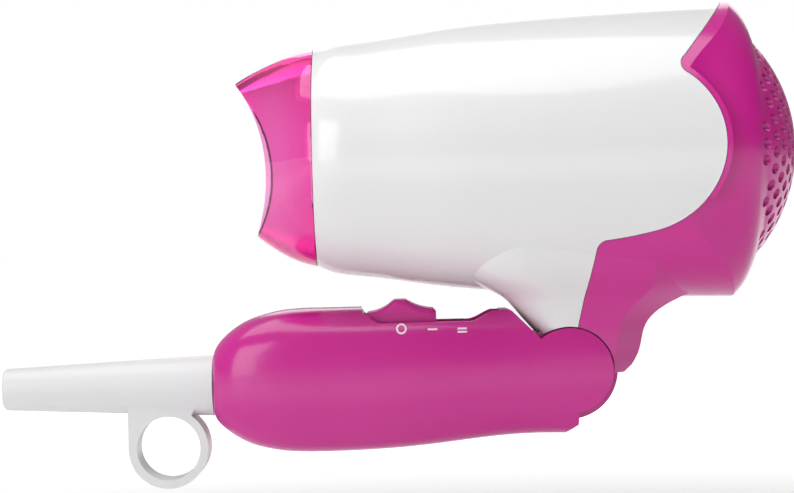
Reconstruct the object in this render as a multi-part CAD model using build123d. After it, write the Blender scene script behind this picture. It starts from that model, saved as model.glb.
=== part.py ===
from build123d import *
import os
from math import cos, hypot, pi, radians, sin, sqrt

# Folding travel hair dryer, in millimetres, in its folded pose.
# Origin: centre of the hanging loop's eye. +X runs along the barrel towards the air inlet, +Z is up.

# Barrel casing, about its own axis (parallel to X)
BARREL_AXIS_Z = 76.9
WALL = 2.0
FRONT_X = 41.1
RIM_X = 152.8
BARREL_OUTLINE = [(FRONT_X, 29.2), (44, 30.5), (54, 32.2), (73, 35.0), (93, 37.0), (112, 38.2), (132, 39.1),
                  (RIM_X, 39.6)]
DOME_CENTRE_X = 127.6
DOME_R = 42.0
DOME_EDGE_X = 158.5
# Rear cove: half width and half height of the section at each X
COVE = [(124, 39.6, 66), (131, 37.8, 60), (138, 36.3, 54), (145, 35.2, 45.5), (150, 34.6, 41.2), (153.4, 33.3, 38.2),
        (156.2, 31.0, 33.2), (DOME_EDGE_X, 28.5, 28.5)]
INLET_PITCH = 4.25
INLET_HOLE_R = 1.42
GRILLE_R = 32.4
GRILLE_START_X = 152.6
GRILLE_RIM = 0.5

# Seam between the white shell and the rear cover, seen from the side
SEAM_GAP = 0.15
LIP = 1.3
BULGE_CENTRE = (123.2, 77.2)
BULGE_R = 22.5

# Hinge
PIVOT = (107.2, 18.8)
CHEEK_R = 11.4
CHEEK_RECESS_R = 11.8
KNUCKLE_R = 13.0
KNUCKLE_SLOT_R = 13.35
KNUCKLE_HALF = 8.7
SLOT_HALF = 9.0
AXLE_R = 6.0
BUSH_R = 7.2
RUNNING_GAP = 0.05
NECK_END_Z = 18.0
# Neck sections: Z, front X, back X, half width, length of the chamfer at the back corners
NECK_SECTIONS = [(12, 99.0, 122.5, 13.4, 5.5), (21, 100.2, 124.9, 13.8, 6.3), (28.5, 99.3, 127.3, 14.2, 7.2),
                 (33, 95.4, 129.9, 15.0, 8.2), (37, 92.0, 136.0, 16.8, 11.0), (41, 85.5, 144.5, 20.2, 16.0),
                 (46, 78.5, 148.0, 24.6, 19.0), (53, 76.0, 149.0, 27.4, 19.5)]
NECK_ROUNDING = 0.36
# The knuckle's tang: low X, high X, half width, low Z, high Z
TANG = (103.2, 113.2, 6.2, 27.0, 40.0)

# Handle sections: X, bottom Z, top Z, half width
HANDLE_SECTIONS = [(12.5, 8.4, 25.2, 8.0), (13.4, 6.6, 27.2, 9.6), (15.5, 4.6, 29.6, 11.4), (19, 2.2, 32.3, 13.0),
                   (24, 0.0, 34.6, 14.1), (30, -1.3, 36.1, 14.8), (39, -1.9, 36.7, 15.1), (56, -1.6, 36.8, 15.1),
                   (76, 0.0, 36.8, 14.8), (96, 1.7, 36.6, 14.3), (121, 3.8, 36.4, 14.0)]
HANDLE_END_X = 109.4
TRACK_FLOOR_Z = 32.5
HANDLE_WALL = 2.2
SECTION_POWER = 2.9
# The switch's channel: low X, high X, half width, floor Z
CHANNEL = (53.0, 89.2, 8.4, 30.5)
KNOB_HALF = 8.0
# The slot for the button's stem: low X, high X, half width
STEM_SLOT = (59.6, 83.0, 3.0)
CAVITY = (14.9, 91.0, 28.2)
HANDLE_SCREWS = [(27.0, 9.0), (58.0, 6.0), (87.5, 8.0)]
SCREW_HEAD_R = 2.7
SCREW_R = 1.3
BOSS_R = 3.2
CLAMP_SCREW_X = 22.5
CLAMP_SCREW_Y = 5.4
CLAMP_BAR_Z = 21.2
CLAMP_SCREW_END_Z = 17.0
TERMINALS = (34.0, 46.0, 7.0, 12.0, 20.0)
SWITCH_BODY = (56.5, 86.0, 8.0, 13.0, 24.4)
LEAD_Z = 18.8
LEAD_R = 0.9

# Cord strain relief and hanging loop
RELIEF_AXIS_Z = 16.4
RELIEF_TIP_X = -44.4
RELIEF_TIP_R = 5.6
RELIEF_ROOT_X = 12.6
RELIEF_ROOT_R = 8.2
CORD_BORE_R = 3.2
LOOP_EYE_R = 8.5
LOOP_R = 10.7
LOOP_HALF = 5.5

# Air nozzle
NOZZLE_WALL = 2.3
SLEEVE_R = 27.1
SLEEVE_END_X = 49.0
MOUTH_R = 27.2
NOZZLE_SEAT_X = 49.4
NOZZLE_FACE_X = FRONT_X - 0.2
# Nozzle sections: X, centre height above the axis, half height, half width
NOZZLE_SECTIONS = [(NOZZLE_FACE_X, 0.0, 29.2, 29.2), (37, 0.2, 28.4, 27.0), (31, 0.6, 25.9, 20.6),
                   (25, 1.4, 22.3, 13.6), (17, 2.6, 16.0, 8.6)]

# Fan, motor and duct
MOTOR_R = 12.0
MOTOR_X = (104.0, 125.5)
SHAFT_R = 1.15
DUCT_X = (109.0, 137.0)
DUCT_IN_R = 32.0
DUCT_OUT_R = 33.2
DUCT_FLANGE_R = 35.6
FAN_X = (128.0, 139.5)
FAN_R = 31.2
HUB_R = 9.5
BLADES = 8
STATOR_VANES = 5

# Heater
MICA_TUBE_R = 28.6
MICA_TUBE_X = (57.0, 103.0)
CROSS_X = (58.0, 92.0)
CROSS_HALF = 27.6
MICA_HALF = 0.4
COIL_WIRE_R = 0.7
COIL_RINGS = [20.5, 12.5]
COIL_STATIONS = [62 + 4.6 * index for index in range(6)]


def point(x, z):
    """A point of the side view."""
    return (x, 0, z)


def points(pairs):
    return [point(x, z) for x, z in pairs]


def across_x(x, z=0.0):
    """The plane across the X axis at x, drawn with Y to the right and Z up."""
    return Plane(origin=(x, 0, z), x_dir=(0, 1, 0), z_dir=(1, 0, 0))


def slab(outline, low_y, high_y):
    """The solid of a closed side-view outline between two depths."""
    face = make_face(outline)
    return extrude(Pos(0, low_y, 0) * face, amount=high_y - low_y, dir=(0, 1, 0))


def on_axis(shape):
    """Lifts a shape that is drawn about X onto the barrel's axis."""
    return Pos(0, 0, BARREL_AXIS_Z) * shape


def rod(x0, x1, radius, y=0.0, z=0.0):
    """A cylinder along X."""
    return Pos((x0 + x1) / 2, y, z) * Rot(0, 90, 0) * Cylinder(radius, abs(x1 - x0))


def pin(x, z, radius, y0, y1):
    """A cylinder along Y."""
    return Pos(x, (y0 + y1) / 2, z) * Rot(90, 0, 0) * Cylinder(radius, abs(y1 - y0))


def block(x0, x1, y0, y1, z0, z1):
    return Pos((x0 + x1) / 2, (y0 + y1) / 2, (z0 + z1) / 2) * Box(x1 - x0, y1 - y0, z1 - z0)


def tube(x0, x1, outer, inner):
    """A ring along X, about X."""
    return rod(x0, x1, outer) - rod(x0 - 1, x1 + 1, inner)


def turned(pairs):
    """A solid of revolution about X from a closed polygon of (x, radius)."""
    return revolve(make_face(Polyline(*points(pairs), close=True)), Axis.X)


def write(name, shape):
    export_step(Compound(children=list(shape.solids())) if len(shape.solids()) > 1 else shape.solid(),
                f"parts/{name}.step")
    print(name, len(shape.solids()), round(shape.volume))


# ---------------------------------------------------------------- barrel casing

def barrel_round(inset):
    """The barrel's turned outline, carried on straight past its rear rim."""
    outline = [(x, r - inset) for x, r in BARREL_OUTLINE]
    rear_r = outline[-1][1]
    skin = Spline(*points(outline))
    rest = Polyline(*points([outline[-1], (180, rear_r), (180, 0), (FRONT_X, 0), outline[0]]))
    return revolve(make_face(skin + rest), Axis.X)


def dome_cap(radius, from_x):
    """The part of the dome's ball behind a plane, about X."""
    def on_ball(x):
        return point(x, sqrt(radius ** 2 - (x - DOME_CENTRE_X) ** 2))

    apex = DOME_CENTRE_X + radius
    arc = ThreePointArc(on_ball(from_x), on_ball((from_x + apex) / 2), point(apex, 0))
    return revolve(make_face(arc + Polyline(*points([(apex, 0), (from_x, 0)]), on_ball(from_x))), Axis.X)


def rear_form():
    """The rear of the barrel as a solid: round body, concave cove, then the dome."""
    round_body = barrel_round(0)
    cove = loft([across_x(x) * Ellipse(half_y, half_z) for x, half_y, half_z in COVE])
    cove_start = COVE[0][0]
    middle = (round_body & block(cove_start, DOME_EDGE_X, -60, 60, -60, 60)) & cove
    return middle + dome_cap(DOME_R, DOME_EDGE_X) + (round_body & block(100, cove_start, -60, 60, -60, 60))


def seam_face(grow):
    """The side-view region that the white front shell keeps, grown by a margin."""
    cx, cz = BULGE_CENTRE
    start, end = radians(52), radians(-75)
    bulge_start = (cx + BULGE_R * cos(start), cz + BULGE_R * sin(start))
    bulge_end = (cx + BULGE_R * cos(end), cz + BULGE_R * sin(end))
    outline = Line(point(158.2, 126.2), point(136.5, 99.8))
    outline += ThreePointArc(point(136.5, 99.8), point(135.35, 97.3), point(*bulge_start))
    outline += ThreePointArc(point(*bulge_start), point(cx + BULGE_R, cz), point(*bulge_end))
    outline += ThreePointArc(point(*bulge_end), point(122.6, 54.05), point(116.6, 53.15))
    outline += ThreePointArc(point(116.6, 53.15), point(114.35, 52.3), point(113.45, 50.2))
    outline += Polyline(*points([(113.45, 50.2), (107.0, 18.8), (107.0, -20), (0, -20), (0, 126.2), (158.2, 126.2)]))
    face = make_face(outline)
    return offset(face, grow, kind=Kind.ARC) if grow else face


def through(face):
    """A side-view face taken right through the object."""
    return extrude(Pos(0, -60, 0) * face, amount=120, dir=(0, 1, 0))


def seam_region(grow):
    return through(seam_face(grow))


# ---------------------------------------------------------------- neck and hinge

def neck_ring(z, front, back, half, chamfer, inset):
    """A level section of the neck: rounded corners at the front, chamfered ones at the back."""
    front, back, half = front + inset, back - inset, half - inset
    r = min(back - front, 2 * half) * NECK_ROUNDING
    side_x, back_y, nick = back - chamfer, half * 0.5, r * (1 - sqrt(0.5))
    lines = Polyline((front, r - half, z), (front, half - r, z))
    lines += ThreePointArc((front, half - r, z), (front + nick, half - nick, z), (front + r, half, z))
    lines += Polyline((front + r, half, z), (side_x, half, z), (back, back_y, z), (back, -back_y, z),
                      (side_x, -half, z), (front + r, -half, z))
    lines += ThreePointArc((front + r, -half, z), (front + nick, nick - half, z), (front, r - half, z))
    return make_face(lines)


def neck(inset):
    """The neck between barrel and hinge: rounded sections that widen into the barrel."""
    return loft([neck_ring(*section, inset) for section in NECK_SECTIONS])


def hinge_cylinder(radius, y0, y1):
    return pin(*PIVOT, radius, y0, y1)


def neck_end_cutter():
    """Everything under the neck's end face, with the chamfer at its back edge."""
    low = [(80, NECK_END_Z), (122.0, NECK_END_Z), (126.0, 21.4), (140, 21.4), (140, -20), (80, -20), (80, NECK_END_Z)]
    return slab(Polyline(*points(low)), -40, 40)


def tang_box(grow):
    x0, x1, half, z0, z1 = TANG
    return block(x0 - grow, x1 + grow, -half - grow, half + grow, z0, z1 + grow)


def rear_cavity():
    """The hollow behind the cove and the dome, turned about X."""
    inner_r = DOME_R - WALL
    start_x = 156.2
    front = [(100, 35.4), (124, 36.2), (139, 33.4), (151, 31.6), (153.6, 30.9)]

    def on_ball(x):
        return point(x, sqrt(inner_r ** 2 - (x - DOME_CENTRE_X) ** 2))

    apex = DOME_CENTRE_X + inner_r
    arc = ThreePointArc(on_ball(start_x), on_ball((start_x + apex) / 2), point(apex, 0))
    rest = Polyline(point(apex, 0), point(100, 0), *points(front), on_ball(start_x))
    return revolve(make_face(arc + rest), Axis.X)


def neck_hollow():
    """The hollow of the neck, which keeps a wall round the hinge pockets and over the end face."""
    pocket = hinge_cylinder(CHEEK_RECESS_R + WALL, -20, 20) + hinge_cylinder(KNUCKLE_SLOT_R + WALL, -11, 11)
    end_wall = block(80, 140, -40, 40, -20, NECK_END_Z + 3.4)
    return neck(WALL) - end_wall - pocket


def hinge_cuts(shape):
    """Cuts the knuckle's slot, the two cheek recesses and the tang's socket."""
    shape -= hinge_cylinder(KNUCKLE_SLOT_R, -SLOT_HALF, SLOT_HALF)
    for side in (-1, 1):
        shape -= hinge_cylinder(CHEEK_RECESS_R, side * (SLOT_HALF - 0.01), side * 40)
    return shape - tang_box(RUNNING_GAP)


def front_shell():
    """The white shell: the barrel's front and the front of the neck."""
    neck_solid = neck(0) - neck_end_cutter()
    shell = (on_axis(barrel_round(0)) + neck_solid) & seam_region(0)
    shell = shell - on_axis(barrel_round(WALL))
    shell = shell - on_axis(rod(FRONT_X - 5, NOZZLE_SEAT_X, MOUTH_R))
    shell = shell - neck_hollow()
    return largest(hinge_cuts(shell))


def rear_cover():
    """The rear cover with its dome, and the lip that stands round the white shell's bulge."""
    cavity = on_axis(rear_cavity())
    shell = on_axis(rear_form()) - seam_region(SEAM_GAP) - cavity
    neck_back = (neck(0) - neck_end_cutter()) - seam_region(SEAM_GAP) - cavity
    lip = through(seam_face(SEAM_GAP + LIP) - seam_face(SEAM_GAP)) & block(
        110, 150, -60, 60, BARREL_AXIS_Z - 14, BARREL_AXIS_Z + 60)
    lip = (on_axis(barrel_round(0)) & lip) - cavity
    hollow = neck_hollow()
    return largest(hinge_cuts((shell - hollow) + (neck_back - hollow) + lip))


def largest(shape):
    return max(shape.solids(), key=lambda solid: solid.volume)


def inlet_grille(rear):
    """Cuts the perforated dome out of the rear cover, as its own piece."""
    column = on_axis(rod(GRILLE_START_X, 175, GRILLE_R))
    dome = rear & column
    cover = rear - column
    holes = []
    row_step = INLET_PITCH * sqrt(3) / 2
    count = int(GRILLE_R / row_step) + 1
    for column_index in range(-count, count + 1):
        y = column_index * row_step
        shift = INLET_PITCH / 2 if column_index % 2 else 0
        for row_index in range(-9, 10):
            z = row_index * INLET_PITCH + shift
            if hypot(y, z) < GRILLE_R - INLET_HOLE_R - GRILLE_RIM:
                holes.append((y, z))
    punch = [rod(GRILLE_START_X + 0.7, 180, INLET_HOLE_R, y, BARREL_AXIS_Z + z) for y, z in holes]
    print("inlet holes", len(holes))
    return largest(cover), largest(dome - punch)


def hinge_knuckle():
    """The barrel's side of the hinge: a round knuckle and the tang that fixes it in the neck."""
    body = hinge_cylinder(KNUCKLE_R, -KNUCKLE_HALF, KNUCKLE_HALF) + tang_box(0)
    x0, x1, half, z0, z1 = TANG
    body -= hinge_cylinder(BUSH_R, -40, 40)
    return body - block(x0 + 2, x1 - 2, 2 - half, half - 2, PIVOT[1], z1 + 5)


def hinge_bush(side):
    """A flanged plastic bush in the knuckle, running on the handle's hollow stub axle."""
    near, far = 2.2, KNUCKLE_HALF
    bush = hinge_cylinder(BUSH_R, near, far) - hinge_cylinder(AXLE_R + RUNNING_GAP, 0, 40)
    return bush if side > 0 else mirror(bush, about=Plane.XZ)


# ---------------------------------------------------------------- handle

def rounded_ring(x, low, high, half, inset):
    """A closed rounded section across X, fuller than an ellipse."""
    count = 20
    mid, half_z, half_y = (low + high) / 2, (high - low) / 2 - inset, half - inset
    ring = []
    for index in range(count):
        angle = 2 * pi * (index + 0.5) / count
        c, s = cos(angle), sin(angle)
        reach = (abs(c) ** SECTION_POWER + abs(s) ** SECTION_POWER) ** (-1 / SECTION_POWER)
        ring.append(Vector(x, half_y * reach * c, mid + half_z * reach * s))
    return Face(Wire([Edge.make_spline(ring, periodic=True)]))


def handle_form(inset):
    return Part(loft([rounded_ring(*section, inset) for section in HANDLE_SECTIONS]).wrapped)


def handle_side_view():
    """The handle's side view: switch recess, bump, ramp and hinge cheek."""
    px, pz = PIVOT
    end_z = pz - sqrt(CHEEK_R ** 2 - (HANDLE_END_X - px) ** 2)
    ramp = (px + CHEEK_R * cos(radians(130.5)), pz + CHEEK_R * sin(radians(130.5)))
    outline = Polyline(*points([ramp, (92.4, 35.0), (91.4, 35.4), (88.4, 35.3)]))
    outline += Spline(*points([(88.4, 35.3), (86.2, 34.6), (84.0, 33.4), (82.0, TRACK_FLOOR_Z + 0.1),
                               (80.0, TRACK_FLOOR_Z)]))
    outline += Polyline(*points([(80.0, TRACK_FLOOR_Z), (57.0, TRACK_FLOOR_Z), (53.0, 34.9), (52.4, 36.0),
                                 (52.4, 45), (5, 45), (5, -15), (106.5, -15), (106.5, 2.2),
                                 (HANDLE_END_X, 4.4), (HANDLE_END_X, end_z)]))
    outline += ThreePointArc(point(HANDLE_END_X, end_z), point(px + CHEEK_R, pz), point(*ramp))
    return slab(outline, -30, 30)


def handle_casing():
    """Both halves of the handle, before they are parted at Y = 0."""
    x0, x1, half, floor_z = CHANNEL
    body = handle_form(0) & handle_side_view()
    body -= block(x0, x1, -half, half, floor_z, 50)
    body -= block(STEM_SLOT[0], STEM_SLOT[1], -STEM_SLOT[2], STEM_SLOT[2], 20, 40)
    cavity_x0, cavity_x1, cavity_top = CAVITY
    hollow = handle_form(HANDLE_WALL) & block(cavity_x0, cavity_x1, -20, 20, -10, cavity_top)
    for x, z in HANDLE_SCREWS:
        hollow -= pin(x, z, BOSS_R, -20, 20)
    for y in (-CLAMP_SCREW_Y, CLAMP_SCREW_Y):
        hollow -= pin_z(CLAMP_SCREW_X, y, 2.2, -10, CLAMP_BAR_Z)
    hollow -= block(38, 42, -20, 20, -10, TERMINALS[3])
    hollow -= block(64, 68, -20, 20, -10, SWITCH_BODY[3])
    body -= hollow
    body -= hinge_cylinder(KNUCKLE_SLOT_R, -SLOT_HALF, SLOT_HALF)
    body -= Pos(0, 0, RELIEF_AXIS_Z) * rod(5, 16, 7.1)
    for y in (-CLAMP_SCREW_Y, CLAMP_SCREW_Y):
        body -= pin_z(CLAMP_SCREW_X, y, SCREW_R + 0.05, CLAMP_SCREW_END_Z - 0.5, CLAMP_BAR_Z + 1)
    lead_way = block(89, PIVOT[0] + 1.4, -12.4, -10.2, PIVOT[1] - 2.5, PIVOT[1] + 2.5)
    return body - lead_way


def handle_half(casing, side):
    half = casing & (block(0, 130, 0, 40, -20, 60) if side > 0 else block(0, 130, -40, 0, -20, 60))
    axle = hinge_cylinder(AXLE_R, side * 2.6, side * (SLOT_HALF + 0.5)) - hinge_cylinder(4.0, side * 1, side * 12)
    half = half + axle
    if side < 0:
        half -= hinge_cylinder(4.0, -11.0, -2)
    for x, z in HANDLE_SCREWS:
        half -= pin(x, z, SCREW_R + 0.05, -9.0, 40 if side > 0 else 0.1)
        if side > 0:
            half -= pin(x, z, SCREW_HEAD_R + 0.2, 9.0, 40)
    return largest(half)


def screw(x, z, tip_y, seat_y):
    """A pan-head screw along Y with a cross slot."""
    shape = pin(x, z, SCREW_R, tip_y, seat_y) + pin(x, z, SCREW_HEAD_R, seat_y, seat_y + 1.8)
    shape -= block(x - 1.6, x + 1.6, seat_y + 0.9, seat_y + 3, z - 0.3, z + 0.3)
    return shape - block(x - 0.3, x + 0.3, seat_y + 0.9, seat_y + 3, z - 1.6, z + 1.6)


def handle_screws():
    return Compound(children=[screw(x, z, -8.6, 9.0).solid() for x, z in HANDLE_SCREWS])


def switch_knob():
    """The slide button: a ridge between two thumb hollows, with a stem into the switch."""
    outline = Polyline(*points([(53.4, 31.0), (53.4, 34.6), (54.2, 35.3)]))
    outline += ThreePointArc(point(54.2, 35.3), point(57.6, 36.1), point(60.6, 38.0))
    outline += Polyline(*points([(60.6, 38.0), (61.4, 38.5), (64.2, 38.5), (65.2, 37.9)]))
    outline += ThreePointArc(point(65.2, 37.9), point(68.2, 36.6), point(71.6, 36.0))
    outline += Polyline(*points([(71.6, 36.0), (72.3, 35.3), (72.3, 31.0), (53.4, 31.0)]))
    top = slab(outline, -KNOB_HALF, KNOB_HALF)
    long_edges = [edge for edge in top.edges() if abs(edge.center().Y) > KNOB_HALF - 0.1 and edge.center().Z > 35]
    try:
        top = fillet(long_edges, 1.6)
    except ValueError:
        print("the knob's long edges stay sharp")
    return largest(top + block(60.4, 65.6, -2.6, 2.6, 22.4, 31.5))


def switch_body():
    """The slide switch, with its slot for the stem and its three contact blades."""
    x0, x1, half, z0, z1 = SWITCH_BODY
    body = block(x0, x1, -half, half, z0, z1)
    body -= block(STEM_SLOT[0], STEM_SLOT[1], -STEM_SLOT[2], STEM_SLOT[2], 22.0, 30)
    for x in (60, 71, 82):
        body += block(x - 0.4, x + 0.4, -2.4, 2.4, z0 - 3.4, z0 + 0.2)
    return body


def strain_relief():
    """The tapered cord sleeve and its hanging loop, one moulding."""
    cone = Pos(0, 0, RELIEF_AXIS_Z) * turned([(RELIEF_TIP_X, 0), (RELIEF_TIP_X, RELIEF_TIP_R - 0.6),
                                              (RELIEF_TIP_X + 0.6, RELIEF_TIP_R), (RELIEF_ROOT_X - 0.4, RELIEF_ROOT_R),
                                              (RELIEF_ROOT_X - 0.4, 6.9), (15.2, 6.9), (15.2, 9.0), (17.6, 9.0),
                                              (17.6, 0)])
    web = Polyline(*points([(-LOOP_R, 0), (-LOOP_R, RELIEF_AXIS_Z - 3), (7.2, RELIEF_AXIS_Z - 3), (7.2, 10.6),
                            (6.3, 8.8), (7.4, 6.0), (LOOP_R, 0), (-LOOP_R, 0)]))
    loop = slab(web, -LOOP_HALF, LOOP_HALF) + pin(0, 0, LOOP_R, -LOOP_HALF, LOOP_HALF)
    body = cone + (loop - pin(0, 0, LOOP_EYE_R, -20, 20))
    return largest(body - Pos(0, 0, RELIEF_AXIS_Z) * rod(RELIEF_TIP_X - 5, 30, CORD_BORE_R))


# ---------------------------------------------------------------- air nozzle

def nozzle_form(inset):
    rings = [across_x(x, up) * Ellipse(half_y - inset, half_z - inset) for x, up, half_z, half_y in NOZZLE_SECTIONS]
    return loft(rings)


def nozzle():
    """The push-on concentrator: round at the barrel, a tall slot with a hollowed lip at its mouth."""
    lip = ThreePointArc(point(19.9, 20.0), point(28.0, 1.0), point(24.9, -20.8))
    lip += Polyline(*points([(24.9, -20.8), (22, -45), (0, -45), (0, 45), (15, 45), (19.9, 20.0)]))
    shell = nozzle_form(0) - slab(lip, -40, 40)
    sleeve = rod(NOZZLE_FACE_X - 0.5, SLEEVE_END_X, SLEEVE_R)
    hollow = nozzle_form(NOZZLE_WALL) + rod(NOZZLE_FACE_X - 0.6, 60, SLEEVE_R - 2.0)
    return on_axis(largest(shell + sleeve - hollow))


# ---------------------------------------------------------------- what the barrel holds

def spokes(count, x0, x1, inner, outer, thickness, tilt=0.0):
    """Flat radial webs about X, each turned about its own length by the tilt."""
    shapes = []
    for index in range(count):
        web = Pos(0, 0, (inner + outer) / 2) * Rot(0, 0, tilt) * Box(x1 - x0, thickness, outer - inner)
        shapes.append(Pos((x0 + x1) / 2, 0, 0) * Rot(360 * index / count, 0, 0) * web)
    return shapes


def outlet_grid():
    """The guard inside the barrel's mouth: a rim, rings and spokes."""
    grid = tube(52.0, 56.0, 29.6, 28.2) + tube(52.4, 54.0, 20.0, 18.8) + tube(52.4, 54.0, 10.4, 9.2)
    for web in spokes(8, 52.4, 54.0, 9.8, 28.8, 1.2):
        grid += web
    return on_axis(grid)


def mica_tube():
    """The heat sleeve round the heater."""
    return on_axis(tube(*MICA_TUBE_X, MICA_TUBE_R, MICA_TUBE_R - 0.6))


def coil_ring(x, radius, wire):
    return Pos(x, 0, 0) * Rot(0, 90, 0) * Torus(radius, wire)


def mica_cross():
    """Two crossed boards with a notch for each coil turn."""
    x0, x1 = CROSS_X
    boards = block(x0, x1, -CROSS_HALF, CROSS_HALF, -MICA_HALF, MICA_HALF)
    boards += block(x0, x1, -MICA_HALF, MICA_HALF, -CROSS_HALF, CROSS_HALF)
    for x in COIL_STATIONS:
        for radius in COIL_RINGS:
            boards -= coil_ring(x, radius, COIL_WIRE_R + 0.2)
    return on_axis(boards)


def heating_coils():
    """Each coil turn is one plain ring."""
    return Compound(children=[on_axis(coil_ring(x, radius, COIL_WIRE_R)).solid()
                              for x in COIL_STATIONS for radius in COIL_RINGS])


def thermostat():
    """A bimetal cut-out on the cross, at the fan's side."""
    return on_axis(block(76, 90, 0.4, 3.2, 3.0, 10.0) + block(72, 76, 0.9, 1.5, 4.0, 9.0))


def thermal_fuse():
    """The one-shot fuse beside the cross, with its two wires."""
    y, z = -2.2, -7.0
    return on_axis(rod(76, 86, 1.8, y, z) + rod(71, 76, 0.5, y, z) + rod(86, 90, 0.5, y, z))


def fan_duct():
    """The ring round the fan with the stator vanes and the motor's holder."""
    x0, x1 = DUCT_X
    duct = tube(x0, x1, DUCT_OUT_R, DUCT_IN_R) + tube(x0, x0 + 3, DUCT_FLANGE_R, DUCT_IN_R)
    duct += tube(x0, x0 + 15, MOTOR_R + 1.6, MOTOR_R + 0.1)
    for web in spokes(STATOR_VANES, x0 + 1, x0 + 14, MOTOR_R + 1, DUCT_IN_R + 0.5, 1.4, tilt=12):
        duct += web
    return on_axis(duct)


def motor_can():
    """The motor's steel can, bored for the shaft."""
    x0, x1 = MOTOR_X
    can = rod(x0, x1, MOTOR_R) - rod(x0 - 1, x1 - 1.2, MOTOR_R - 1)
    can -= rod(100, 130, SHAFT_R + RUNNING_GAP)
    return on_axis(largest(can))


def motor_end_cap():
    """The motor's plastic end with its two contact tabs."""
    start = MOTOR_X[0]
    cap = rod(start - 2.5, start, MOTOR_R) + rod(start, start + 2, MOTOR_R - 1.1)
    for y in (-6, 6):
        cap += block(99.2, 101.6, y - 0.3, y + 0.3, -1.5, 1.5)
    return on_axis(cap - rod(102.5, 110, SHAFT_R + RUNNING_GAP))


def motor_board():
    """The round circuit board on the motor's terminals, with its diodes and capacitor."""
    board = tube(97.4, 99.0, 15.0, 3.0)
    for z in (-9, 9):
        for y in (-5, 5):
            board += rod(94.2, 97.5, 1.4, y, z)
    return on_axis(board + block(93.4, 97.5, -4.5, 4.5, -6.4, -3.6))


def motor_shaft():
    return on_axis(rod(102.8, FAN_X[1] - 1.0, SHAFT_R))


def fan_impeller():
    """The axial fan: a hub open towards the motor, with tilted blades."""
    fan = rod(*FAN_X, HUB_R) - rod(FAN_X[0] - 1, FAN_X[1] - 3.5, HUB_R - 1.5) + rod(FAN_X[0], FAN_X[1] - 2, 3.2)
    for web in spokes(BLADES, FAN_X[0] + 3.0, FAN_X[1] - 3.0, HUB_R - 0.6, FAN_R, 1.3, tilt=38):
        fan += web
    return on_axis(largest((fan & rod(FAN_X[0] - 3, FAN_X[1], FAN_R)) - rod(100, FAN_X[1] - 1.0, SHAFT_R)))


def lint_screen():
    """The fine guard behind the inlet: a rim and crossed bars."""
    screen = tube(152.0, 153.2, 30.7, 26.6)
    for index in range(-5, 6):
        offset_y = index * 4.8
        reach = sqrt(27.2 ** 2 - offset_y ** 2)
        screen += block(152.1, 152.6, offset_y - 0.25, offset_y + 0.25, -reach, reach)
        screen += block(152.6, 153.1, -reach, reach, offset_y - 0.25, offset_y + 0.25)
    return on_axis(largest(screen))


# ---------------------------------------------------------------- what the handle holds

def cord_clamp():
    """The bar that holds the cord down, on its two screws."""
    bar = block(CLAMP_SCREW_X - 2.5, CLAMP_SCREW_X + 2.5, -7.8, 7.8, CLAMP_BAR_Z, CLAMP_BAR_Z + 3.4)
    for y in (-CLAMP_SCREW_Y, CLAMP_SCREW_Y):
        bar -= pin_z(CLAMP_SCREW_X, y, SCREW_R + 0.05)
    return bar


def pin_z(x, y, radius, z0=-10.0, z1=60.0):
    """A cylinder along Z."""
    return Pos(x, y, (z0 + z1) / 2) * Cylinder(radius, z1 - z0)


def clamp_screws():
    head_z = CLAMP_BAR_Z + 3.4
    screws = []
    for y in (-CLAMP_SCREW_Y, CLAMP_SCREW_Y):
        shank = pin_z(CLAMP_SCREW_X, y, SCREW_R, CLAMP_SCREW_END_Z, head_z)
        screws.append((shank + pin_z(CLAMP_SCREW_X, y, 2.2, head_z, head_z + 1.4)).solid())
    return Compound(children=screws)


def cord_terminals():
    """The terminal block, with a wire bore and two screw holes on each side."""
    x0, x1, half, z0, z1 = TERMINALS
    body = block(x0, x1, -half, half, z0, z1)
    for y in (-3.5, 3.5):
        body -= rod(30, 50, 1.5, y, 16.0)
        body -= pin_z(37, y, 1.2, 16.0, 30)
        body -= pin_z(43, y, 1.2, 16.0, 30)
    return body


def lead(path_points, radius):
    """A wire along straight runs with rounded corners."""
    path = FilletPolyline(*path_points, radius=2.5)
    start = path_points[0]
    toward = Vector(*path_points[1]) - Vector(*start)
    return sweep(Plane(origin=start, z_dir=toward) * Circle(radius), path=path)


def handle_leads():
    """The two leads from the terminals to the switch, and the pair on to the hinge."""
    wires = [rod(TERMINALS[1] + 0.2, SWITCH_BODY[0] - 0.1, LEAD_R, y, 16.0) for y in (-3.5, 3.5)]
    x0, turn_x, side_y = SWITCH_BODY[1] + 0.1, 89.2, -11.3
    wires.append(lead([(x0, -3.0, LEAD_Z), (turn_x, -3.0, LEAD_Z), (turn_x, side_y, LEAD_Z),
                       (PIVOT[0], side_y, LEAD_Z), (PIVOT[0], -3.2, LEAD_Z)], LEAD_R))
    return Compound(children=[wire.solid() for wire in wires])


def neck_leads():
    """The leads from the hinge's hollow axle up to the motor board."""
    return lead([(PIVOT[0], 0, 20.0), (PIVOT[0], 0, 50.0), (97.0, 0, 59.5)], 1.1)


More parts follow.
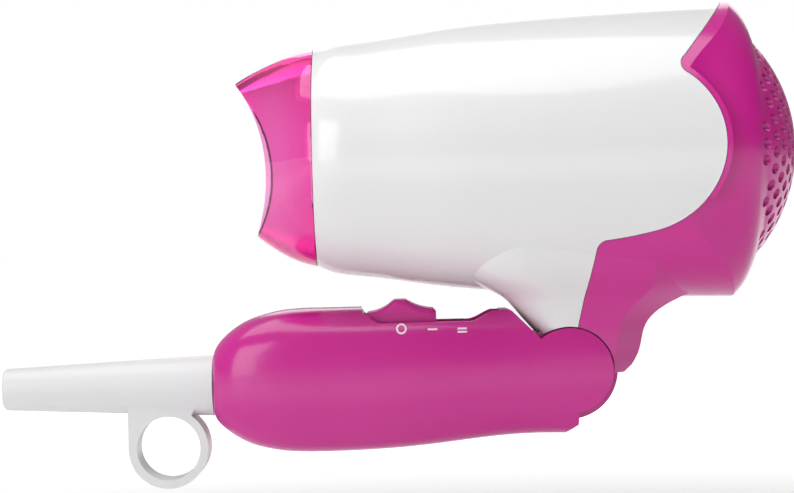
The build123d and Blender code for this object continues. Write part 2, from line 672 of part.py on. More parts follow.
PIECES = {
    "front_shell": front_shell,
    "hinge_knuckle": hinge_knuckle,
    "hinge_bush_left": lambda: hinge_bush(-1),
    "hinge_bush_right": lambda: hinge_bush(1),
    "outlet_grid": outlet_grid,
    "mica_tube": mica_tube,
    "mica_cross": mica_cross,
    "heating_coils": heating_coils,
    "thermostat": thermostat,
    "thermal_fuse": thermal_fuse,
    "fan_duct": fan_duct,
    "motor_can": motor_can,
    "motor_end_cap": motor_end_cap,
    "motor_board": motor_board,
    "motor_shaft": motor_shaft,
    "fan_impeller": fan_impeller,
    "lint_screen": lint_screen,
    "neck_leads": neck_leads,
    "nozzle": nozzle,
    "switch_knob": switch_knob,
    "switch_body": switch_body,
    "strain_relief": strain_relief,
    "cord_clamp": cord_clamp,
    "clamp_screws": clamp_screws,
    "cord_terminals": cord_terminals,
    "handle_leads": handle_leads,
    "handle_screws": handle_screws,
}


def main():
    os.makedirs("parts", exist_ok=True)
    for name, make in PIECES.items():
        write(name, make())
    cover, grille = inlet_grille(rear_cover())
    write("rear_cover", cover)
    write("inlet_grille", grille)
    casing = handle_casing()
    write("handle_left", handle_half(casing, -1))
    write("handle_right", handle_half(casing, 1))


main()
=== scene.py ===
from math import atan2, cos, hypot, pi, radians, sin

import bpy
from mathutils import Matrix, Vector


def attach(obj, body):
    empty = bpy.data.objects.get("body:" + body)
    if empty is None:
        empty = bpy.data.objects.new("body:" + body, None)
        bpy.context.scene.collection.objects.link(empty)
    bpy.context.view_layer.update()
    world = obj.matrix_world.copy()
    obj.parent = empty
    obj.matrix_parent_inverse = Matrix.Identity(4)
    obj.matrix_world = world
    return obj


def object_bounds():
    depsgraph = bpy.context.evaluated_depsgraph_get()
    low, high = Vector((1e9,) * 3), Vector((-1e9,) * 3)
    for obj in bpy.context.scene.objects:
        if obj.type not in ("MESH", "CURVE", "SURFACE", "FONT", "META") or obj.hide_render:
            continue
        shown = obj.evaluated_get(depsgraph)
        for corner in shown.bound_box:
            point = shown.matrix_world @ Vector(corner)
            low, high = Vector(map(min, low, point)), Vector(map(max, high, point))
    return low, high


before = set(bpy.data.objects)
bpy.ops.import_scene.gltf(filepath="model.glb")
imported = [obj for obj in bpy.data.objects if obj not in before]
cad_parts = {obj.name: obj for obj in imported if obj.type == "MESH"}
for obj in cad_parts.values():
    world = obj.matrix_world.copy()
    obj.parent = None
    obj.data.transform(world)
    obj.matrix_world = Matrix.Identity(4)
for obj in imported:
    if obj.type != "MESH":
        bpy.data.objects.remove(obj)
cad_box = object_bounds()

bl_info = {
    "name": "Folding Hair Dryer Finish",
    "version": (1, 0, 0),
    "blender": (4, 5, 0),
    "location": "3D View > Sidebar > Hair Dryer",
    "description": "Finishes, printed marks, seam bead and studio for a folding hair dryer",
    "category": "Object",
}

MM = 0.001

# Light and the see-through tint
AIR_LIGHT = 0.38            # strength of the light from all round
REAR_SHADE = 0.25           # share of it that comes from the air inlet's side
REAR_SPAN = (-0.2, 0.9)     # where that side begins and ends, as the X of a direction
CARD_SPAN = (0.10, 0.55)    # where the air seen through the nozzle turns dark, as the Z of a direction
TINT_DENSITY = 600.0

# Lights: name, X from the dryer's middle, Y, Z, width, height (metres) and share of the main power
LIGHTS = (("top_light", -0.10, -0.12, 0.75, 0.80, 0.60, 1.0),
          ("front_light", -0.55, -0.75, 0.30, 0.45, 0.60, 0.62),
          ("back_light", 0.10, 0.70, 0.45, 0.60, 0.40, 0.30))

# Floor, in metres
FLOOR_DROP = 0.034          # how far it lies under the dryer
FLOOR_WIDTH = 60.0
FLOOR_CENTRE = (0.06, 0.5)
GLOW_CENTRE = (0.06, 0.0)
GLOW_SPAN = (0.22, 0.55)    # distance at which the floor's own glow begins and is full
FLOOR_GLOW = 0.74

CAMERA_AT = (62.3, 52.7)    # X and Z of the camera, in millimetres

# Moulded plastic: scale of each noise, the larger the finer
FLOW_SCALE = 26.0
SCUFF_PATCH_SCALE = 60.0
POLISH_SCALE = 90.0
RIPPLE_SCALE = 300.0
SCUFF_SCALE = 900.0
SPECK_SCALE = 2200.0
GRAIN_SCALE = 3800.0
PLASTIC_RELIEF = 0.00006    # height of the relief, in metres

# Metal, mica, ink and the nozzle: scale of each noise
DRAW_LINE_SCALE = 1400.0
STAIN_SCALE = 120.0
METAL_RELIEF = 0.00005
FLAKE_SCALE = 420.0
MICA_TONE_SCALE = 500.0
MICA_SHEEN_SCALE = 700.0
MICA_RELIEF_SCALE = 900.0
MICA_RELIEF = 0.0001
INK_WEAR_SCALE = 1500.0
INK_RELIEF_SCALE = 2500.0
INK_RELIEF = 0.00003
SMEAR_SCALE = 70.0
NOZZLE_WAVE_SCALE = 260.0
NOZZLE_GRAIN_SCALE = 3000.0
NOZZLE_RELIEF = 0.00004
PAPER_SCALE = 3.0

# Colours of the inner parts
ACETAL = (0.72, 0.71, 0.67, 1)
PLATED_STEEL = (0.55, 0.56, 0.58, 1)
# The lint screen's dark colour is painted shade: it stands in for the shade behind the inlet holes.
SCREEN_PAINTED_SHADE = (0.10, 0.02, 0.06, 1)
HEATER_ALLOY = (0.34, 0.30, 0.26, 1)
BOARD_BROWN = (0.20, 0.10, 0.045, 1)
LEAD_WHITE = (0.75, 0.75, 0.72, 1)
MICA_DARK = (0.36, 0.26, 0.14, 1)
MICA_LIGHT = (0.60, 0.50, 0.34, 1)
MICA_FLAKES = 0.18          # share of the flakes' own colour
SMEAR_DARK = (1.0, 0.90, 0.96, 1)
SMEAR_LIGHT = (1.0, 0.95, 0.98, 1)
PAPER_DARK = (0.90, 0.90, 0.90, 1)
PAPER_LIGHT = (0.93, 0.93, 0.93, 1)

# Printed marks: side-view places in millimetres
OFF_RING_AT = (62.96, 30.98)
LOW_DASH_AT = (71.18, 30.66)
HIGH_DASH_AT = (78.99, 30.27)
HIGH_DASH_RISE = 0.42       # of each of the two dashes from their middle
MARK_LIFT = 0.02            # gap between the handle and the ink
INK_THICKNESS = 0.05
MARK_START_Y = -0.03        # metres, in front of the handle
RING_SIDES = 40
DASH_STEPS = (12, 3)

# Side-view outline of the seam, in millimetres, as the casing has it
SEAM_TOP = (152.9, 119.8)
SEAM_STRAIGHT_END = (136.5, 99.8)
SEAM_CORNER = (135.35, 97.3)
BULGE_CENTRE = (123.2, 77.2)
BULGE_R = 22.5
BULGE_FROM = 52.0
BULGE_TO = -75.0
NECK_CORNER_ARC = [(122.6, 54.05), (116.6, 53.15), (114.35, 52.3), (113.45, 50.2)]
NECK_SEAM_END = (110.6, 36.4)
BULGE_STEPS = 60
TOP_STEPS = 60
CORNER_STEPS = 12
SHOULDER_STEPS = 16

# Seam bead
BEAD_SINK = 0.45            # depth of its axis in the shell, as a share of its radius
BEAD_INSET = 1.05           # distance of its axis from the seam, as a share of its radius
BEAD_MIN_POINTS = 40
BEAD_SMOOTH_ANGLE = radians(50)
RAY_START = 0.1             # metres from the middle plane, outside the shell


# ---------------------------------------------------------------- shader tools

def as_value(item):
    return item.socket if isinstance(item, Wire) else item


class Wire:
    """A shader socket that adds its own Math nodes when it is used in an expression."""

    def __init__(self, net, socket):
        self.net = net
        self.socket = socket

    def _math(self, operation, left, right):
        return self.net.node("ShaderNodeMath", {"operation": operation}, {0: left, 1: right})

    def __add__(self, other):
        return self._math("ADD", self, other)

    def __radd__(self, other):
        return self._math("ADD", other, self)

    def __sub__(self, other):
        return self._math("SUBTRACT", self, other)

    def __rsub__(self, other):
        return self._math("SUBTRACT", other, self)

    def __mul__(self, other):
        return self._math("MULTIPLY", self, other)

    def __rmul__(self, other):
        return self._math("MULTIPLY", other, self)

    def __abs__(self):
        return self.net.node("ShaderNodeMath", {"operation": "ABSOLUTE"}, {0: self})

    def or_more(self, other):
        return self._math("MAXIMUM", self, other)

    def clamped(self):
        return self.net.node("ShaderNodeClamp", {}, {"Value": self})


class Net:
    """The nodes of a material or a world, with one method that adds any node."""

    def __init__(self, owner, coordinates="Object"):
        owner.use_nodes = True
        self.owner = owner
        self.tree = owner.node_tree
        self.place = self.node("ShaderNodeTexCoord", {}, {}, coordinates)

    def node(self, kind, settings, inputs, output=0):
        made = self.tree.nodes.new(kind)
        for key, value in settings.items():
            setattr(made, key, value)
        for key, value in inputs.items():
            self.feed(made.inputs[key], value)
        return Wire(self, made.outputs[output])

    def feed(self, socket, value):
        value = as_value(value)
        if isinstance(value, bpy.types.NodeSocket):
            self.tree.links.new(value, socket)
        else:
            socket.default_value = value

    def noise(self, scale, detail=2.0, roughness=0.5, place=None):
        return self.node("ShaderNodeTexNoise", {}, {"Vector": place or self.place, "Scale": scale,
                                                    "Detail": detail, "Roughness": roughness})

    def stretched(self, x, y, z):
        return self.node("ShaderNodeMapping", {}, {"Vector": self.place, "Scale": (x, y, z)})

    def ramp(self, factor, low, high, at_low=0.0, at_high=1.0):
        spans = {"Value": factor, "From Min": low, "From Max": high, "To Min": at_low, "To Max": at_high}
        return self.node("ShaderNodeMapRange", {"clamp": True}, spans)

    def mix(self, factor, first, second):
        return self.node("ShaderNodeMix", {"data_type": "RGBA"}, {0: factor, 6: first, 7: second}, 2)

    def bump(self, height, strength, distance):
        return self.node("ShaderNodeBump", {}, {"Height": height, "Strength": strength, "Distance": distance})

    def set(self, **sockets):
        """Feeds the material's shader, and gives back the material."""
        shader = self.tree.nodes["Principled BSDF"]
        for key, value in sockets.items():
            self.feed(shader.inputs[key.replace("_", " ")], value)
        return self.owner


def material_net(name):
    return Net(bpy.data.materials.new(name))


def shade(colour, factor):
    return tuple(channel * factor for channel in colour[:3]) + (1.0,)


def whitened(colour, share):
    return tuple(channel + (1.0 - channel) * share for channel in colour[:3]) + (1.0,)


def moulded_plastic(name, colour, gloss, grain, speckle=0.012, coat=0.0):
    """Injection-moulded plastic: faint flow marks, fine grain, hairline scuffs and a patchy polish."""
    net = material_net(name)
    flow = net.noise(FLOW_SCALE, 3.0, 0.55, net.stretched(1.0, 1.0, 0.45))
    grain_height = net.noise(GRAIN_SCALE, 2.0, 0.6)
    ripple = net.noise(RIPPLE_SCALE, 2.0)
    hair = net.noise(SCUFF_SCALE, 2.0, 0.7, net.stretched(0.06, 1.0, 1.0))
    scuff = net.ramp(hair, 0.66, 0.74) * net.ramp(net.noise(SCUFF_PATCH_SCALE, 2.0), 0.50, 0.68)
    tone = net.mix(flow, shade(colour, 0.94), whitened(colour, 0.02))
    specks = net.ramp(net.noise(SPECK_SCALE, 1.0), 0.60, 0.75) * speckle
    tone = net.mix(specks, tone, whitened(colour, 0.5))
    polish = gloss + (net.noise(POLISH_SCALE, 3.0) - 0.5) * 0.10 + scuff * 0.10
    height = grain_height * grain + ripple * 0.25 - scuff * 0.06
    return net.set(Base_Color=tone, Roughness=polish.clamped(), Coat_Weight=coat,
                   Normal=net.bump(height, 0.35, PLASTIC_RELIEF))


# ---------------------------------------------------------------- modelling tools

def clear_selection():
    if bpy.context.object and bpy.context.object.mode != "OBJECT":
        bpy.ops.object.mode_set(mode="OBJECT")
    bpy.ops.object.select_all(action="DESELECT")


def only(piece):
    clear_selection()
    piece.select_set(True)
    bpy.context.view_layer.objects.active = piece


def apply_modifier(piece, kind, **settings):
    only(piece)
    modifier = piece.modifiers.new(kind.title(), kind)
    for key, value in settings.items():
        setattr(modifier, key, value)
    bpy.ops.object.modifier_apply(modifier=modifier.name)


def settle(piece):
    """Puts the piece's place into its mesh."""
    only(piece)
    bpy.ops.object.transform_apply(location=True, rotation=True, scale=True)


def finish_piece(piece, name, body, material):
    piece.name = name
    piece.data.name = name
    piece.data.materials.clear()
    piece.data.materials.append(material)
    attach(piece, body)


def dress(node, material):
    """Gives a CAD node its finish."""
    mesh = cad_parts[node].data
    if not mesh.materials:
        mesh.materials.append(material)
    for index in range(len(mesh.materials)):
        mesh.materials[index] = material


def lay_on(piece, node, side, stand_off, thickness):
    """Presses a flat side-view piece on a CAD node's near or far side, and gives it a thickness."""
    apply_modifier(piece, "SHRINKWRAP", target=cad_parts[node], wrap_method="PROJECT",
                   use_project_x=False, use_project_y=True, use_project_z=False,
                   use_positive_direction=side < 0, use_negative_direction=side > 0, offset=stand_off)
    apply_modifier(piece, "SOLIDIFY", thickness=thickness, offset=1.0)
    only(piece)
    bpy.ops.object.mode_set(mode="EDIT")
    bpy.ops.mesh.select_all(action="SELECT")
    bpy.ops.mesh.normals_make_consistent(inside=False)
    bpy.ops.object.mode_set(mode="OBJECT")


# ---------------------------------------------------------------- settings

def colour_setting(name, description, red, green, blue):
    return bpy.props.FloatVectorProperty(name=name, description=description, subtype="COLOR", size=4,
                                         min=0, max=1, default=(red, green, blue, 1))


def length_setting(name, description, default, low, high):
    """A length given in millimetres."""
    return bpy.props.FloatProperty(name=name, description=description, unit="LENGTH", default=default * MM,
                                   min=low * MM, max=high * MM)


class DRYER_PG_colours(bpy.types.PropertyGroup):
    """Colours of the dryer's finishes"""
    shell: colour_setting("Barrel shell", "Colour of the barrel's white shell", 0.80, 0.80, 0.805)
    casing: colour_setting("Casing", "Colour of the handle and the rear cover", 0.60, 0.005, 0.27)
    nozzle: colour_setting("Nozzle tint", "Tint of the see-through nozzle", 0.950, 0.02, 0.66)
    relief: colour_setting("Cord sleeve", "Colour of the cord sleeve and loop", 0.78, 0.78, 0.79)
    marks: colour_setting("Marks", "Colour of the printed switch marks", 0.93, 0.80, 0.88)
    inside: colour_setting("Inner plastic", "Colour of the heat-resistant parts", 0.020, 0.018, 0.020)


class DRYER_PG_sizes(bpy.types.PropertyGroup):
    """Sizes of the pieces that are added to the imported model"""
    ring_radius: length_setting("Ring mark radius", "Outer radius of the off mark", 1.40, 0.5, 3)
    stroke: length_setting("Mark stroke", "Width of the printed strokes", 0.46, 0.1, 1)
    dash: length_setting("Dash length", "Length of the printed dashes", 2.5, 1, 6)
    bead: length_setting("Seam bead width", "Width of the raised edge along the seam", 0.42, 0.1, 1)


class DRYER_PG_studio(bpy.types.PropertyGroup):
    """Camera and light"""
    distance: length_setting("Camera distance", "Distance of the camera from the middle", 545, 200, 3000)
    lens: bpy.props.FloatProperty(name="Lens", description="Focal length", unit="CAMERA", default=91.5,
                                  min=20, max=200)
    roll: bpy.props.FloatProperty(name="Roll", description="Turn of the camera about its view", subtype="ANGLE",
                                  default=radians(-1.3), min=-0.5, max=0.5)
    light: bpy.props.FloatProperty(name="Light", description="Power of the main soft light", unit="POWER",
                                   default=4.0, min=0, max=100)


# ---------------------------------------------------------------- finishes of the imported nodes

class DRYER_OT_casing_finish(bpy.types.Operator):
    """Gloss plastic on the shell, the rear cover, the handle and the button"""
    bl_idname = "dryer.casing_finish"
    bl_label = "Casing finish"

    def execute(self, context):
        colours = context.scene.dryer_colours
        white = moulded_plastic("white_gloss", colours.shell, 0.20, 0.30, 0.0, coat=0.35)
        pink = moulded_plastic("magenta_gloss", colours.casing, 0.22, 0.35, coat=0.2)
        button = moulded_plastic("magenta_button", colours.casing, 0.30, 0.70)
        dress("front_shell", white)
        for node in ("rear_cover", "inlet_grille", "handle_left", "handle_right", "hinge_knuckle"):
            dress(node, pink)
        dress("switch_knob", button)
        return {"FINISHED"}


class DRYER_OT_nozzle_finish(bpy.types.Operator):
    """Tinted see-through plastic on the nozzle"""
    bl_idname = "dryer.nozzle_finish"
    bl_label = "Nozzle finish"

    def execute(self, context):
        tint = context.scene.dryer_colours.nozzle
        net = material_net("nozzle_tint")
        smear = net.noise(SMEAR_SCALE, 3.0)
        tone = net.mix(smear, SMEAR_DARK, SMEAR_LIGHT)
        height = net.noise(NOZZLE_WAVE_SCALE, 2.0) * 0.4 + net.noise(NOZZLE_GRAIN_SCALE) * 0.1
        material = net.set(Base_Color=tone, Roughness=(smear - 0.5) * 0.06 + 0.04,
                           Normal=net.bump(height, 0.2, NOZZLE_RELIEF), Transmission_Weight=1.0, IOR=1.49)
        depth = net.node("ShaderNodeVolumeAbsorption", {}, {"Color": tuple(tint), "Density": TINT_DENSITY},
                         "Volume")
        net.feed(net.tree.nodes["Material Output"].inputs["Volume"], depth)
        dress("nozzle", material)
        return {"FINISHED"}


class DRYER_OT_sleeve_finish(bpy.types.Operator):
    """Satin plastic on the cord sleeve and its hanging loop"""
    bl_idname = "dryer.sleeve_finish"
    bl_label = "Cord sleeve finish"

    def execute(self, context):
        relief = context.scene.dryer_colours.relief
        dress("strain_relief", moulded_plastic("sleeve_satin", relief, 0.36, 0.8, 0.01))
        return {"FINISHED"}


class DRYER_OT_inner_finish(bpy.types.Operator):
    """Finishes of the heater, the fan, the motor, the switch and the hinge bushes"""
    bl_idname = "dryer.inner_finish"
    bl_label = "Inner finish"

    def execute(self, context):
        dark = moulded_plastic("heatproof_black", context.scene.dryer_colours.inside, 0.42, 1.0, 0.1)
        for node in ("outlet_grid", "fan_duct", "fan_impeller", "motor_end_cap", "switch_body",
                     "cord_terminals"):
            dress(node, dark)
        acetal = moulded_plastic("acetal_white", ACETAL, 0.4, 0.5)
        for node in ("hinge_bush_left", "hinge_bush_right", "cord_clamp"):
            dress(node, acetal)
        steel = brushed_metal("plated_steel", PLATED_STEEL, 0.28)
        for node in ("motor_can", "motor_shaft", "handle_screws", "clamp_screws", "thermostat",
                     "thermal_fuse"):
            dress(node, steel)
        # The lint screen is dressed dark as painted shade, to stand in for the shade behind the inlet holes.
        dress("lint_screen", brushed_metal("screen_painted_shade", SCREEN_PAINTED_SHADE, 0.5))
        dress("heating_coils", brushed_metal("heater_alloy", HEATER_ALLOY, 0.4))
        mica = flaked_mica()
        dress("mica_tube", mica)
        dress("mica_cross", mica)
        dress("motor_board", moulded_plastic("board_brown", BOARD_BROWN, 0.5, 1.0, 0.05))
        insulation = moulded_plastic("lead_insulation", LEAD_WHITE, 0.5, 0.5)
        dress("handle_leads", insulation)
        dress("neck_leads", insulation)
        return {"FINISHED"}


def brushed_metal(name, colour, gloss):
    """Plated metal with fine draw lines along X and faint heat staining."""
    net = material_net(name)
    lines = net.noise(DRAW_LINE_SCALE, 2.0, 0.6, net.stretched(0.05, 1.0, 1.0))
    stain = net.noise(STAIN_SCALE, 3.0)
    tone = net.mix(stain, shade(colour, 0.82), whitened(colour, 0.06))
    return net.set(Base_Color=tone, Metallic=1.0, Roughness=(lines - 0.5) * 0.22 + gloss,
                   Normal=net.bump(lines, 0.3, METAL_RELIEF))


def flaked_mica():
    """Pressed mica: golden-brown flakes with a soft sheen."""
    net = material_net("pressed_mica")
    flakes = net.node("ShaderNodeTexVoronoi", {"feature": "F1"}, {"Vector": net.place, "Scale": FLAKE_SCALE},
                      "Color")
    tone = net.mix(net.noise(MICA_TONE_SCALE, 3.0), MICA_DARK, MICA_LIGHT)
    tone = net.mix(MICA_FLAKES, tone, flakes)
    return net.set(Base_Color=tone, Roughness=net.noise(MICA_SHEEN_SCALE) * 0.3 + 0.25,
                   Normal=net.bump(net.noise(MICA_RELIEF_SCALE, 3.0), 0.4, MICA_RELIEF))


# ---------------------------------------------------------------- printed marks

def flat_ring(place, radius, stroke):
    """A flat ring in the side view, made by drawing a circle's edge inwards."""
    x, z = (value * MM for value in place)
    clear_selection()
    bpy.ops.mesh.primitive_circle_add(vertices=RING_SIDES, radius=radius, location=(x, MARK_START_Y, z),
                                      rotation=(pi / 2, 0, 0))
    piece = bpy.context.object
    bpy.ops.object.mode_set(mode="EDIT")
    bpy.ops.mesh.select_all(action="SELECT")
    bpy.ops.mesh.extrude_region_move()
    share = 1.0 - stroke / radius
    bpy.ops.transform.resize(value=(share, 1.0, share))
    bpy.ops.object.mode_set(mode="OBJECT")
    settle(piece)
    return piece


def flat_dash(place, rise, length, stroke):
    """A flat bar in the side view, cut into short steps so that it can follow a curved side."""
    clear_selection()
    bpy.ops.mesh.primitive_grid_add(x_subdivisions=DASH_STEPS[0], y_subdivisions=DASH_STEPS[1], size=1.0,
                                    location=(place[0] * MM, MARK_START_Y, (place[1] + rise) * MM),
                                    rotation=(pi / 2, 0, 0))
    piece = bpy.context.object
    piece.scale = (length, stroke, 1.0)
    settle(piece)
    return piece


class DRYER_OT_switch_marks(bpy.types.Operator):
    """Printed ring, dash and double dash beside the switch"""
    bl_idname = "dryer.switch_marks"
    bl_label = "Switch marks"

    def execute(self, context):
        sizes = context.scene.dryer_sizes
        net = material_net("print_ink")
        wear = net.ramp(net.noise(INK_WEAR_SCALE, 2.0), 0.30, 0.42)
        ink = context.scene.dryer_colours.marks
        tone = net.mix(wear, shade(ink, 0.85), tuple(ink))
        material = net.set(Base_Color=tone, Roughness=0.45 - wear * 0.08,
                           Normal=net.bump(net.noise(INK_RELIEF_SCALE), 0.3, INK_RELIEF))
        ring = flat_ring(OFF_RING_AT, sizes.ring_radius, sizes.stroke)
        bars = [flat_dash(LOW_DASH_AT, 0.0, sizes.dash, sizes.stroke),
                flat_dash(HIGH_DASH_AT, HIGH_DASH_RISE, sizes.dash, sizes.stroke),
                flat_dash(HIGH_DASH_AT, -HIGH_DASH_RISE, sizes.dash, sizes.stroke)]
        names = ["mark_off_ring", "mark_low_dash", "mark_high_dash_upper", "mark_high_dash_lower"]
        for name, piece in zip(names, [ring] + bars):
            lay_on(piece, "handle_left", -1, MARK_LIFT * MM, INK_THICKNESS * MM)
            finish_piece(piece, name, "handle", material)
        return {"FINISHED"}


# ---------------------------------------------------------------- seam bead

def arc_through(first, middle, last, steps):
    """Points of the circle through three side-view points."""
    ax, az = first
    bx, bz = middle
    cx, cz = last
    d = 2 * (ax * (bz - cz) + bx * (cz - az) + cx * (az - bz))
    aa, bb, cc = ax * ax + az * az, bx * bx + bz * bz, cx * cx + cz * cz
    ux = (aa * (bz - cz) + bb * (cz - az) + cc * (az - bz)) / d
    uz = (aa * (cx - bx) + bb * (ax - cx) + cc * (bx - ax)) / d
    radius = hypot(ax - ux, az - uz)
    start, mid, end = (atan2(z - uz, x - ux) for x, z in (first, middle, last))

    def turn(angle, base):
        return (angle - base) % (2 * pi)

    sweep = turn(end, start) if turn(mid, start) < turn(end, start) else turn(end, start) - 2 * pi
    return [(ux + radius * cos(start + sweep * i / steps), uz + radius * sin(start + sweep * i / steps))
            for i in range(steps + 1)]


def bulge_point(angle):
    return (BULGE_CENTRE[0] + BULGE_R * cos(radians(angle)), BULGE_CENTRE[1] + BULGE_R * sin(radians(angle)))


def seam_line():
    """The seam from the barrel's top to the neck, as side-view points."""
    line = [SEAM_TOP, SEAM_STRAIGHT_END]
    start, end = bulge_point(BULGE_FROM), bulge_point(BULGE_TO)
    line += arc_through(SEAM_STRAIGHT_END, SEAM_CORNER, start, SHOULDER_STEPS)[1:]
    line += [bulge_point(BULGE_FROM + (BULGE_TO - BULGE_FROM) * i / BULGE_STEPS)
             for i in range(1, BULGE_STEPS + 1)]
    line += arc_through(end, NECK_CORNER_ARC[0], NECK_CORNER_ARC[1], CORNER_STEPS)[1:]
    line += arc_through(*NECK_CORNER_ARC[1:], CORNER_STEPS)[1:]
    line.append(NECK_SEAM_END)
    return line


def set_inside(line, distance):
    """The line moved to the shell's side of the seam."""
    moved = []
    for index, (x, z) in enumerate(line):
        ax, az = line[max(index - 1, 0)]
        bx, bz = line[min(index + 1, len(line) - 1)]
        length = hypot(bx - ax, bz - az)
        moved.append((x + distance * (bz - az) / length, z - distance * (bx - ax) / length))
    return moved


def on_shell(x, z, side, depth):
    """The point of the shell's near or far side that shows at a side-view place, sunk by a depth, or None."""
    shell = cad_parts["front_shell"]
    start = Vector((x * MM, side * RAY_START, z * MM))
    hit, where, normal, _face = shell.ray_cast(start, Vector((0, -side, 0)))
    if not hit or where.y * side < 0:
        return None
    return where - normal * depth


def seam_path(depth, inset):
    """The bead's line: up the near side, over the top and down the far side."""
    near, far = [], []
    flat = seam_line()
    (x0, z0), (x1, z1) = flat[0], flat[1]
    climb = [(x1 + (x0 - x1) * sin(pi / 2 * i / TOP_STEPS), z1 + (z0 - z1) * sin(pi / 2 * i / TOP_STEPS))
             for i in range(TOP_STEPS, 0, -1)]
    line = set_inside(climb + flat[1:], inset)
    for x, z in line:
        for side, found in ((-1, near), (1, far)):
            place = on_shell(x, z, side, depth)
            if place:
                found.append(place)
    return near[::-1] + far


class DRYER_OT_seam_bead(bpy.types.Operator):
    """The raised edge that the shell has along its seam"""
    bl_idname = "dryer.seam_bead"
    bl_label = "Seam bead"

    def execute(self, context):
        radius = context.scene.dryer_sizes.bead / 2
        path = seam_path(radius * BEAD_SINK, radius / MM * BEAD_INSET)
        if len(path) < BEAD_MIN_POINTS:
            raise RuntimeError("the seam bead found too little of the shell to follow")
        curve = bpy.data.curves.new("shell_seam_bead", "CURVE")
        curve.dimensions = "3D"
        spline = curve.splines.new("POLY")
        spline.points.add(len(path) - 1)
        for point, place in zip(spline.points, path):
            point.co = (*place, 1.0)
        curve.bevel_depth = radius
        curve.bevel_resolution = 2
        curve.use_fill_caps = True
        piece = bpy.data.objects.new("shell_seam_bead", curve)
        context.scene.collection.objects.link(piece)
        only(piece)
        bpy.ops.object.convert(target="MESH")
        piece = context.object
        bpy.ops.object.shade_smooth_by_angle(angle=BEAD_SMOOTH_ANGLE)
        finish_piece(piece, "shell_seam_bead", "barrel", bpy.data.materials["white_gloss"])
        return {"FINISHED"}


# ---------------------------------------------------------------- studio

def soft_light(name, place, target, width, height, power):
    light = bpy.data.lights.new(name, "AREA")
    light.shape = "RECTANGLE"
    light.size, light.size_y = width, height
    light.energy = power
    lamp = bpy.data.objects.new(name, light)
    bpy.context.scene.collection.objects.link(lamp)
    lamp.location = place
    lamp.rotation_euler = (Vector(target) - Vector(place)).to_track_quat("-Z", "Y").to_euler()
    return lamp


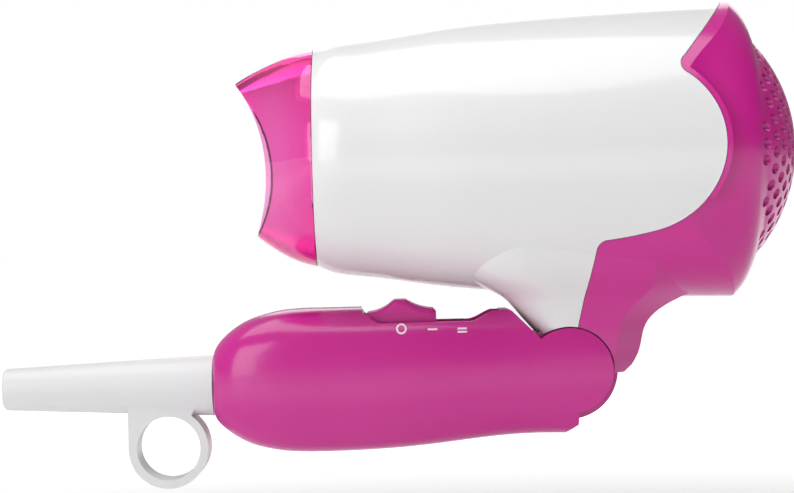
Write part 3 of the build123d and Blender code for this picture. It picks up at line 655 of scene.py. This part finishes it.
class DRYER_OT_stage(bpy.types.Operator):
    """Pale seamless floor, soft lights and the camera"""
    bl_idname = "dryer.stage"
    bl_label = "Stage"

    def execute(self, context):
        scene = context.scene
        studio = scene.dryer_studio
        low, high = cad_box
        self.floor(low.z - FLOOR_DROP)
        middle = ((low.x + high.x) / 2, 0, (low.z + high.z) / 2)
        for name, x, y, z, width, height, share in LIGHTS:
            soft_light(name, (middle[0] + x, y, z), middle, width, height, studio.light * share)
        self.air(scene)
        scene.view_settings.view_transform = "Standard"
        self.camera(scene, studio)
        return {"FINISHED"}

    def air(self, scene):
        """Light from all round. The camera sees it white, and so does the nozzle, except above and below."""
        world = bpy.data.worlds.new("studio_air")
        net = Net(world, "Generated")
        across = net.node("ShaderNodeSeparateXYZ", {}, {"Vector": net.place}, "X")
        upward = net.node("ShaderNodeSeparateXYZ", {}, {"Vector": net.place}, "Z")
        to_camera = net.node("ShaderNodeLightPath", {}, {}, "Is Camera Ray")
        through = net.node("ShaderNodeLightPath", {}, {}, "Is Transmission Ray")
        seen = to_camera.or_more(through * net.ramp(abs(upward), *CARD_SPAN, 1.0, 0.0))
        soft = net.ramp(across, *REAR_SPAN, AIR_LIGHT, AIR_LIGHT * REAR_SHADE)
        background = net.tree.nodes["Background"]
        background.inputs["Color"].default_value = (1, 1, 1, 1)
        net.feed(background.inputs["Strength"], net.ramp(seen, 0.0, 1.0, soft, 1.0))
        scene.world = world

    def floor(self, floor_z):
        """A wide pale floor."""
        clear_selection()
        bpy.ops.mesh.primitive_grid_add(x_subdivisions=8, y_subdivisions=8, size=1.0,
                                        location=(*FLOOR_CENTRE, floor_z))
        piece = bpy.context.object
        piece.scale = (FLOOR_WIDTH, FLOOR_WIDTH, 1.0)
        settle(piece)
        net = material_net("seamless_paper")
        tone = net.mix(net.noise(PAPER_SCALE, 2.0), PAPER_DARK, PAPER_LIGHT)
        apart = net.node("ShaderNodeVectorMath", {"operation": "DISTANCE"},
                         {0: net.place, 1: (*GLOW_CENTRE, floor_z)}, 1)
        glow = net.ramp(apart, *GLOW_SPAN) * FLOOR_GLOW
        glow = net.node("ShaderNodeCombineColor", {}, {0: glow, 1: glow, 2: glow})
        piece.data.materials.append(net.set(Base_Color=tone, Roughness=0.9, Emission_Color=glow,
                                            Emission_Strength=1.0))
        piece.name = "studio_floor"

    def camera(self, scene, studio):
        lens = bpy.data.cameras.new("camera")
        lens.lens = studio.lens
        lens.sensor_width = 36.0
        view = bpy.data.objects.new("camera", lens)
        scene.collection.objects.link(view)
        facing = Matrix.Rotation(pi / 2, 4, "X") @ Matrix.Rotation(studio.roll, 4, "Z")
        place = Matrix.Translation((CAMERA_AT[0] * MM, -studio.distance, CAMERA_AT[1] * MM))
        view.matrix_world = place @ facing
        scene.camera = view


# ---------------------------------------------------------------- panel and registration

class DRYER_PT_panel(bpy.types.Panel):
    """Lists the dryer's steps and its settings"""
    bl_idname = "DRYER_PT_panel"
    bl_label = "Hair Dryer"
    bl_space_type = "VIEW_3D"
    bl_region_type = "UI"
    bl_category = "Hair Dryer"

    def draw(self, context):
        for name in ("dryer_colours", "dryer_sizes", "dryer_studio"):
            group = getattr(context.scene, name)
            for key in group.bl_rna.properties.keys():
                if key not in ("rna_type", "name"):
                    self.layout.prop(group, key)
        for operator in OPERATORS:
            self.layout.operator(operator.bl_idname)


OPERATORS = (DRYER_OT_casing_finish, DRYER_OT_nozzle_finish, DRYER_OT_sleeve_finish, DRYER_OT_inner_finish,
             DRYER_OT_switch_marks, DRYER_OT_seam_bead, DRYER_OT_stage)
GROUPS = {"dryer_colours": DRYER_PG_colours, "dryer_sizes": DRYER_PG_sizes, "dryer_studio": DRYER_PG_studio}


def register():
    for group in GROUPS.values():
        bpy.utils.register_class(group)
    for operator in OPERATORS:
        bpy.utils.register_class(operator)
    bpy.utils.register_class(DRYER_PT_panel)
    for name, group in GROUPS.items():
        setattr(bpy.types.Scene, name, bpy.props.PointerProperty(type=group))


def unregister():
    for name in GROUPS:
        delattr(bpy.types.Scene, name)
    bpy.utils.unregister_class(DRYER_PT_panel)
    for operator in reversed(OPERATORS):
        bpy.utils.unregister_class(operator)
    for group in reversed(GROUPS.values()):
        bpy.utils.unregister_class(group)


def main():
    register()
    bpy.ops.dryer.casing_finish()
    bpy.ops.dryer.nozzle_finish()
    bpy.ops.dryer.sleeve_finish()
    bpy.ops.dryer.inner_finish()
    bpy.ops.dryer.switch_marks()
    bpy.ops.dryer.seam_bead()
    bpy.ops.dryer.stage()
    clear_selection()


if __name__ == "__main__":
    main()
